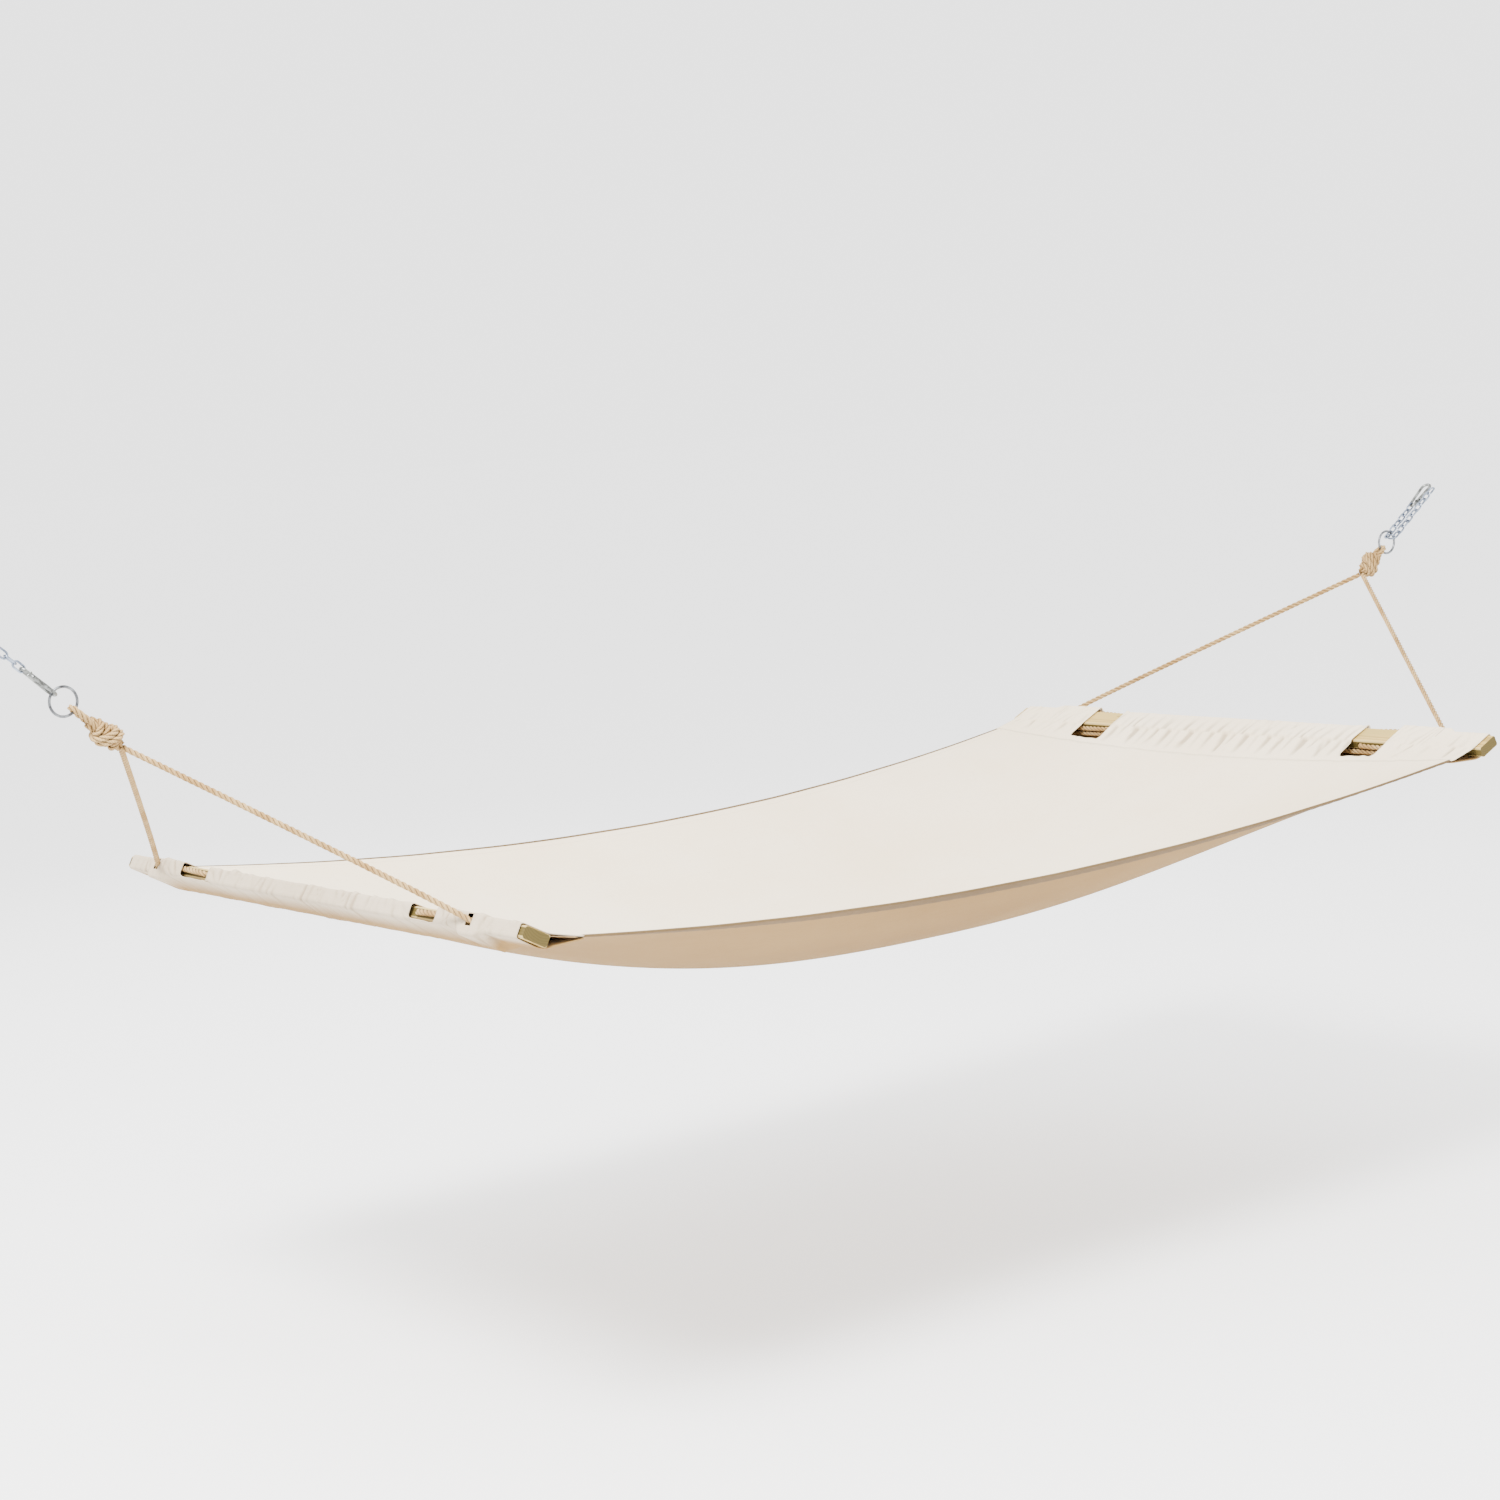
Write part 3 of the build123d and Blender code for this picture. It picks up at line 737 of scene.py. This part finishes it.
def sleeveFaces(end, columns, rowCount):
    faces = []
    for c, (y, nextY) in enumerate(zip(columns, columns[1:])):
        middleY = abs(y + nextY) / 2
        cuts = [rows for (low, high), rows in sleeveCuts().values() if low < middleY < high]
        for r in range(rowCount - 1):
            if any(first <= r < last for first, last in cuts):
                continue
            here, beyond = c * rowCount + r, (c + 1) * rowCount + r
            face = (here, here + 1, beyond + 1, beyond)
            faces.append(face if end["sign"] < 0 else face[::-1])
    return faces


def shadeSleeve(mesh, push, row):       # painted shade for the finish, one value for each point: under the bar and in the creases
    shadeBelow = rise(row, rowAt(4, 0.1), rowAt(4, 0.9)) + 0 * push
    # points lower than their neighbours get painted shade
    around = sum(np.roll(push, step, axis=0) for step in (-3, -2, -1, 1, 2, 3)) / 6
    crease = rise(around - push, *sleeve["creaseShade"]) * 0.8
    for key, values in (("shadeBelow", shadeBelow), ("crease", crease)):
        given = mesh.attributes.new(key, "FLOAT", "POINT")
        given.data.foreach_set("value", values.reshape(-1).astype(np.float32))


def dropLoosePoints(mesh):
    shape = bmesh.new()
    shape.from_mesh(mesh)
    loose = [v for v in shape.verts if not v.link_faces]
    bmesh.ops.delete(shape, geom=loose, context="VERTS")
    shape.to_mesh(mesh)
    shape.free()


def makeSleeve(end):
    columns = sleeveColumns()
    line = np.array([[tuple(p) for p in roundedLine(sleeveOutline(end, y), sleeve["rounds"],
                                                    sleeve["runs"], sleeve["arcs"])]
                     for y in columns])
    row = np.arange(line.shape[1])[None, :]
    y = columns[:, None] + 0.0 * row
    along = np.gradient(line, axis=1)
    along = along / np.linalg.norm(along, axis=2, keepdims=True)
    push = sleevePush(end, y, row)
    line = line + np.stack([-along[..., 1], along[..., 0]], -1) * push[..., None]
    middle, u, v = (np.array(end[key]) for key in ("bar", "u", "v"))
    points = middle + line[..., :1] * u + line[..., 1:] * v
    points[..., 1] += roundWindows(y, row)
    name = end["name"] + "Sleeve"
    obj = addCloth(name, points, sleeveFaces(end, columns, line.shape[1]), wrapCanvas[end["name"]])
    shadeSleeve(obj.data, push, row)
    dropLoosePoints(obj.data)
    thicken(obj, canvasThick)
    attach(obj, "bed")
    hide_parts(end["name"] + "_sleeve")
    end["name"] + "_spreader_bar"


for end in ends.values():
    makeSleeve(end)
print("sleeves wrapped")


# Hems: the bed's long edges folded under, in a dark tone that is painted shade

hem = {
    "columns": 260,
    "endInset": 0.001,
    "bedInset": 0.0002,
    "wall": 0.0003,
    "ripples": {"seed": 5, "lengths": (0.021, 0.034)},      # where the stitches pull
    "rippleHeight": 0.0004,
    "ripplesBelow": -0.002,
    "profile": [        # inward from the bed's edge, and up
        (0.0045, 0.0003), (0.0008, 0.0005), (-0.0009, 0.0002), (-0.0013, -0.0012),
        (-0.0009, -0.0030), (0.0010, -0.0040), (0.0060, -0.0043), (0.0130, -0.0042),
        (0.0195, -0.0038), (0.0220, -0.0030)],
}


def makeHem(name, node, side):
    x = np.linspace(-1, 1, hem["columns"]) * (seamX - bed["seamWidth"] - hem["endInset"])
    edge = bedHalfWidth(x)
    ripple = hem["rippleHeight"] * waves(x, x, **hem["ripples"])
    rows = []
    for inward, up in hem["profile"]:
        across = side * (edge - inward)
        onBed = side * np.minimum(np.abs(across), edge - hem["bedInset"])
        z = bedTop(x, onBed) + up + ripple * (up < hem["ripplesBelow"])
        rows.append(np.stack([x, across, z], -1) + np.array(bedMiddle))
    faces = gridFaces(len(rows), hem["columns"])
    faces = [face[::-1] for face in faces] if side < 0 else faces
    obj = addCloth(name, np.array(rows), faces, hemCanvas)
    thicken(obj, hem["wall"], offset=0)
    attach(obj, "bed")
    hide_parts(node)
    return obj


hems = [makeHem("nearHem", "near_hem", -1), makeHem("farHem", "far_hem", 1)]
print("hems folded")


# Seam stitches: short threads laid end to end along a line

stitch = {
    "pitch": 0.0060,
    "length": 0.0046,
    "radius": 0.00045,
    "proud": 0.0002,
    "fromHemEdge": 0.018,
    "seams": (0.0025, 0.0060),      # two rows, measured from the sleeve's seam
    "hemInset": 0.012,
    "seamInset": 0.004,
    "linePoints": 300,
}


def stitchTree():
    numbers = ["Stitch pitch", "Stitch length", "Thread radius"]
    tree, (line, pitch, length, radius, material) = newGroup("stitches", numbers, "Stitches")
    spots = tree.node("GeometryNodeCurveToPoints", {"mode": "LENGTH"},
                      {"Curve": line, "Length": pitch})
    size = tree.node("ShaderNodeCombineXYZ", None, [radius, radius, length * 0.5])
    bead = tree.node("GeometryNodeMeshUVSphere", None, {"Segments": 6, "Rings": 5, "Radius": 1.0})
    laid = tree.node("GeometryNodeInstanceOnPoints", None, {
        "Points": spots, "Instance": bead, "Rotation": spots.output("Rotation"), "Scale": size})
    return endGroup(tree, laid, material)


def bedLine(x, y):
    z = bedTop(x, y) + stitch["proud"]
    return [bedMiddle + Vector(map(float, place)) for place in zip(x + 0 * y, y + 0 * x, z)]


def stitchLines():
    reachX = seamX - stitch["hemInset"]
    reachY = bedHalfWidth(seamX) - stitch["seamInset"]
    x = np.linspace(-reachX, reachX, stitch["linePoints"])
    y = np.linspace(-reachY, reachY, stitch["linePoints"])
    lines = [bedLine(x, side * (bedHalfWidth(x) - stitch["fromHemEdge"])) for side in (-1, 1)]
    for side in (-1, 1):
        lines += [bedLine(side * (seamX - inward) + 0 * y, y) for inward in stitch["seams"]]
    return lines


stitches = alongLines("seamStitches", stitchLines(), stitchTree(), {
    "Stitch pitch": stitch["pitch"], "Stitch length": stitch["length"],
    "Thread radius": stitch["radius"], "Material": thread})
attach(stitches, "bed")
print("seams stitched")


# Laid rope: three strands that wind round a line, with attributes that the rope finish reads

def laidRopeTree():
    numbers = ["Lay length", "Strand radius", "Helix radius", "Step length", "Sides"]
    tree, given = newGroup("laidRope", numbers, "Rope")
    line, lay, strandRadius, helixRadius, step, sides, material = given
    even = tree.node("GeometryNodeResampleCurve", {"mode": "LENGTH"},
                     {"Curve": line, "Length": step})
    along = tree.node("GeometryNodeSplineParameter", None, None, 1)
    normal = tree.node("GeometryNodeInputNormal")
    third = tree.vector("CROSS_PRODUCT", tree.node("GeometryNodeInputTangent"), normal)

    def keep(geometry, name, value, kind="FLOAT"):
        return tree.node("GeometryNodeStoreNamedAttribute", {"data_type": kind, "domain": "POINT"},
                         {"Geometry": geometry, "Name": name, "Value": value})

    ring = tree.node("GeometryNodeCurvePrimitiveCircle", {"mode": "RADIUS"},
                     {"Resolution": sides, "Radius": strandRadius})
    ring = keep(ring, "around", tree.node("GeometryNodeSplineParameter"))
    joined = tree.tree.nodes.new("GeometryNodeJoinGeometry")
    for strand in range(3):
        angle = (along / lay + strand / 3) * (2 * pi)
        out = tree.vector("ADD", tree.scaled(normal, angle.math("COSINE")),
                          tree.scaled(third, angle.math("SINE")))
        moved = keep(keep(even, "along", along), "outward", out, "FLOAT_VECTOR")
        moved = tree.node("GeometryNodeSetPosition", None,
                          {"Geometry": moved, "Offset": tree.scaled(out, helixRadius)})
        tube = tree.node("GeometryNodeCurveToMesh", None,
                         {"Curve": moved, "Profile Curve": ring, "Fill Caps": True})
        tree.tree.links.new(tube.socket, joined.inputs[0])
    outward = tree.node("GeometryNodeInputNamedAttribute", {"data_type": "FLOAT_VECTOR"},
                        {"Name": "outward"})
    facing = tree.node("ShaderNodeVectorMath", {"operation": "DOT_PRODUCT"},
                       {0: outward, 1: tree.node("GeometryNodeInputNormal")}, 1)
    inward = tree.ramp(facing, 0.35, -0.15)     # 1 where a strand's wall faces its neighbours; these walls get painted shade
    made = keep(Flow(tree, joined.outputs[0]), "inward", inward)
    made = tree.node("GeometryNodeSetShadeSmooth", None, {"Geometry": made})
    return endGroup(tree, made, material)


ropeTree = laidRopeTree()


def layRope(name, lines, step):
    return alongLines(name, lines, ropeTree, {
        "Lay length": rope["layLength"], "Strand radius": rope["strandRadius"],
        "Helix radius": rope["helixRadius"], "Step length": step,
        "Sides": rope["sides"], "Material": ropeFibre})


def routeLine(name, points):        # a smooth line drawn by the points of a route
    obj = addCurve(name, [points], "NURBS")
    spline = obj.data.splines[0]
    spline.order_u = 3
    spline.use_endpoint_u = True
    mesh = plainMesh(obj, name)
    line = [v.co.copy() for v in mesh.vertices]
    bpy.data.objects.remove(obj)
    bpy.data.meshes.remove(mesh)
    return line


def lengthOf(line):
    return sum((b - a).length for a, b in zip(line, line[1:]))


# Bridle rope: from the knot down a leg, round the bar, and along it to the far side

edgeAt = bar["width"] / 2 + rope["diameter"] / 2 + play     # rope's middle when it lies on the bar
underAt = -bar["thick"] / 2 - rope["diameter"] / 2 - play
bridle = {
    "start": 0.55 * rope["diameter"],       # inside the knot
    "half": [       # across the bar, up from its middle, and along it from the bed's middle
        (edgeAt, 0.005, 0.566),     # in through the slit
        (edgeAt, underAt + 0.005, 0.5685),      # first turn, under the bar
        (edgeAt - 0.005, underAt, 0.569),
        (-edgeAt + 0.005, underAt, 0.561),
        (-edgeAt, underAt + 0.005, 0.560),
        (-edgeAt, 0.0005, 0.557),
        (-edgeAt, 0.0, 0.537),      # along the inner edge
        (-edgeAt, 0.0, 0.384),
        (-edgeAt + 0.006, 0.0, 0.378),      # through the bar's hole
        (edgeAt - 0.006, 0.0, 0.378),
        (edgeAt, 0.0, 0.384),       # back along the outer edge
        (edgeAt, 0.004, 0.530),
        (edgeAt, 0.003, 0.540),
        (edgeAt, underAt + 0.006, 0.5445),      # second turn, beside the first
        (edgeAt - 0.005, underAt, 0.545),
        (-edgeAt + 0.006, underAt, 0.538),
        (-edgeAt, underAt, 0.529),
        (-edgeAt - 0.0004, -0.0122, 0.480),     # and along the inner edge to the other half
    ],
}


def bridleHalf(end, side):
    points = [barPoint(end, u, v, side * y) for u, v, y in bridle["half"]]
    leg = (points[0] - end["apex"]).normalized()
    return [end["apex"] + leg * bridle["start"]] + points


for end in ends.values():
    route = bridleHalf(end, -1) + list(reversed(bridleHalf(end, 1)))
    line = routeLine(end["name"] + "BridleRoute", route)
    piece = layRope(end["name"] + "BridleRope", [line], rope["stepLength"])
    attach(piece, "bed")
    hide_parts(end["name"] + "_bridle_rope")
    print(end["name"], "bridle rope", round(lengthOf(line), 3), "m")


# Ring eye: both its ends run down into the knot

eye = {"ringRadius": 0.025, "ringWire": 0.005, "knotLength": 0.082, "tuckedIn": 0.008}


def eyeRoute(end):
    half = rope["diameter"] / 2
    bend = eye["ringWire"] / 2 + half + play
    start = eye["knotLength"] - eye["tuckedIn"] - half
    top = end["ringFromKnot"] - eye["ringRadius"] + bend
    leg = [(start, bend), (top - half, bend), (top, bend - half)]
    points = [(p, -y) for p, y in leg] + [(p, y) for p, y in reversed(leg)]
    return [chainPoint(end, p, 0, y) for p, y in points]


# Knot: the rope's parts pass through a coil of turns, and two leaning bands are drawn over it

knot = {
    "middle": 0.033,
    "halfLength": 0.036,
    "core": {"parts": 4, "points": 24, "radius": 0.0066, "from": 0.001, "to": 0.072, "twist": 1.3},
    "coil": {"turns": 4.4, "points": 160, "radius": 0.0132, "from": 0.006, "to": 0.062,
             "lean": 0.0016, "taper": 0.30, "tuck": 0.45, "tuckShare": 0.05},
    "bands": ({"radius": 0.0198, "at": 0.026, "lean": 0.0115},
              {"radius": 0.0196, "at": 0.0375, "lean": 0.0110}),
    "band": {"turns": 1.12, "points": 60, "leanFrom": 0.4, "taper": 0.20, "tuck": 0.50,
             "tuckShare": 0.14},
    "left": {"phase": 0.4, "bandTurn": 2.3},
    "right": {"phase": 2.0, "bandTurn": 0.6},
}


def knotPoint(end, p, radius, angle):
    return chainPoint(end, p, radius * cos(angle), radius * sin(angle))


def knotTaper(p, amount):       # the knot is thinner towards both of its ends
    return 1 - amount * abs((p - knot["middle"]) / knot["halfLength"]) ** 2


def tucked(wound, fromEnd):      # the first and last bit of a turn dives into the knot
    return 1 - wound["tuck"] * (1 - fromEnd)


def steps(count):
    return [i / count for i in range(count + 1)]


def corePart(end, part):
    core, phase = knot["core"], knot[end["name"]]["phase"]
    return [knotPoint(end, core["from"] + (core["to"] - core["from"]) * t, core["radius"],
                      part * 2 * pi / core["parts"] + phase + core["twist"] * t)
            for t in steps(core["points"])]


def coilLine(end):
    coil, phase = knot["coil"], knot[end["name"]]["phase"]
    line = []
    for t in steps(coil["points"]):
        angle = phase + 2 * pi * coil["turns"] * t
        p = coil["from"] + (coil["to"] - coil["from"]) * t + coil["lean"] * sin(angle)
        fromEnd = min(1, t / coil["tuckShare"], (1 - t) / coil["tuckShare"])
        radius = coil["radius"] * knotTaper(p, coil["taper"]) * tucked(coil, fromEnd)
        line.append(knotPoint(end, p, radius, angle))
    return line


def bandLine(end, own):
    band, start = knot["band"], knot[end["name"]]["bandTurn"]
    line = []
    for t in steps(band["points"]):
        turned = 2 * pi * band["turns"] * t
        p = own["at"] + own["lean"] * cos(turned - band["leanFrom"])
        fromEnd = sin(pi / 2 * min(1, t / band["tuckShare"], (1 - t) / band["tuckShare"]))
        radius = own["radius"] * knotTaper(p, band["taper"]) * tucked(band, fromEnd)
        line.append(knotPoint(end, p, radius, start + turned))
    return line


for end in ends.values():
    lines = [routeLine(end["name"] + "EyeRoute", eyeRoute(end))]
    lines += [corePart(end, part) for part in range(knot["core"]["parts"])]
    lines += [coilLine(end)] + [bandLine(end, own) for own in knot["bands"]]
    piece = layRope(end["name"] + "Knot", lines, rope["knotStepLength"])
    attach(piece, "bed")
    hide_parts(end["name"] + "_knot", end["name"] + "_ring_eye")
print("ropes laid")


# Wood and metal keep the meshes that the frame holds, and only get their finish

for name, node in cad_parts.items():
    if name.endswith("spreader_bar"):
        end = ends[name.split("_")[0]]
        turn = -end["sign"] * radians(end["tilt"])
        giveMaterial(node, makeWood(end["name"] + "BarWood", tuple(end["bar"]), turn))
    elif name.endswith("_ring"):
        giveMaterial(node, steel["ring"])
    elif "hook" in name or "spring" in name:
        giveMaterial(node, steel["hook"])
    elif "link" in name:
        giveMaterial(node, steel["chain"])
print("metal and wood finished")


# Stage: pale floor, soft studio light, and the camera where the photographer stood

stage = {
    "floorDrop": 0.62,
    "floorSize": 60.0,
    "floorGrey": ((0.88, 0.88, 0.88, 1), (0.90, 0.90, 0.90, 1)),
    "floorGlow": 0.11,      # share of the sky that the floor gives back by itself
    "sky": 2.8,
    "white": (1, 1, 1, 1),
    "lights": {     # place from the bed's middle, watts, size
        "key": ((-3.0, -1.5, 4.0), 800, 1.8),
        "fill": ((3.0, -4.0, 2.0), 110, 3.0),
        "back": ((1.0, 4.5, 3.0), 150, 3.0),
    },
    "cameraPlace": (-3.7754, -4.8587, 0.8647),      # from the bed's middle
    "yaw": 36.50,
    "pitch": -6.90,
    "roll": -4.34,
    "sensorWidth": 36.0,
    "focalPixels": 3147.4,
    "imagePixels": 1500,
    "clipEnd": 200,
}


def makeFloor():
    size = stage["floorSize"]
    z = cadBox[0][2] - stage["floorDrop"]
    corners = [(bedMiddle.x + size * i, bedMiddle.y + size * j, z)
               for i, j in ((-1, -1), (1, -1), (1, 1), (-1, 1))]
    mesh = bpy.data.meshes.new("floor")
    mesh.from_pydata(corners, [], [(0, 1, 2, 3)])
    floor = addObject("floor", mesh)
    look = Finish("paleFloor")
    base = look.mix(look.noise(look.place(), 1.5), *stage["floorGrey"])
    giveMaterial(floor, look.finish(Base_Color=base, Roughness=0.9, Emission_Color=stage["white"],
                                    Emission_Strength=stage["floorGlow"] * stage["sky"]))


def lightSky():
    world = bpy.data.worlds.new("studio")
    world.use_nodes = True
    colour, strength = world.node_tree.nodes["Background"].inputs[:2]
    colour.default_value = stage["white"]
    strength.default_value = stage["sky"]
    bpy.context.scene.world = world


def addLight(name, place, power, size):
    light = bpy.data.lights.new(name, "AREA")
    light.energy = power
    light.size = size
    obj = addObject(name, light)
    obj.location = bedMiddle + Vector(place)
    obj.rotation_euler = (-Vector(place)).to_track_quat("-Z", "Y").to_euler()


def addCamera():
    yaw, pitch, roll = (radians(stage[key]) for key in ("yaw", "pitch", "roll"))
    forward = Vector((sin(yaw) * cos(pitch), cos(yaw) * cos(pitch), sin(pitch)))
    level = Vector((cos(yaw), -sin(yaw), 0))
    upright = level.cross(forward)
    across = level * cos(roll) + upright * sin(roll)
    up = upright * cos(roll) - level * sin(roll)
    camera = bpy.data.cameras.new("camera")
    camera.sensor_width = stage["sensorWidth"]
    camera.lens = camera.sensor_width * stage["focalPixels"] / stage["imagePixels"]
    camera.clip_end = stage["clipEnd"]
    obj = addObject("camera", camera)
    turn = Matrix((across, up, -forward)).transposed().to_4x4()
    obj.matrix_world = Matrix.Translation(bedMiddle + Vector(stage["cameraPlace"])) @ turn
    bpy.context.scene.camera = obj


makeFloor()
lightSky()
for name, (place, power, size) in stage["lights"].items():
    addLight(name, place, power, size)
addCamera()
print("stage set")
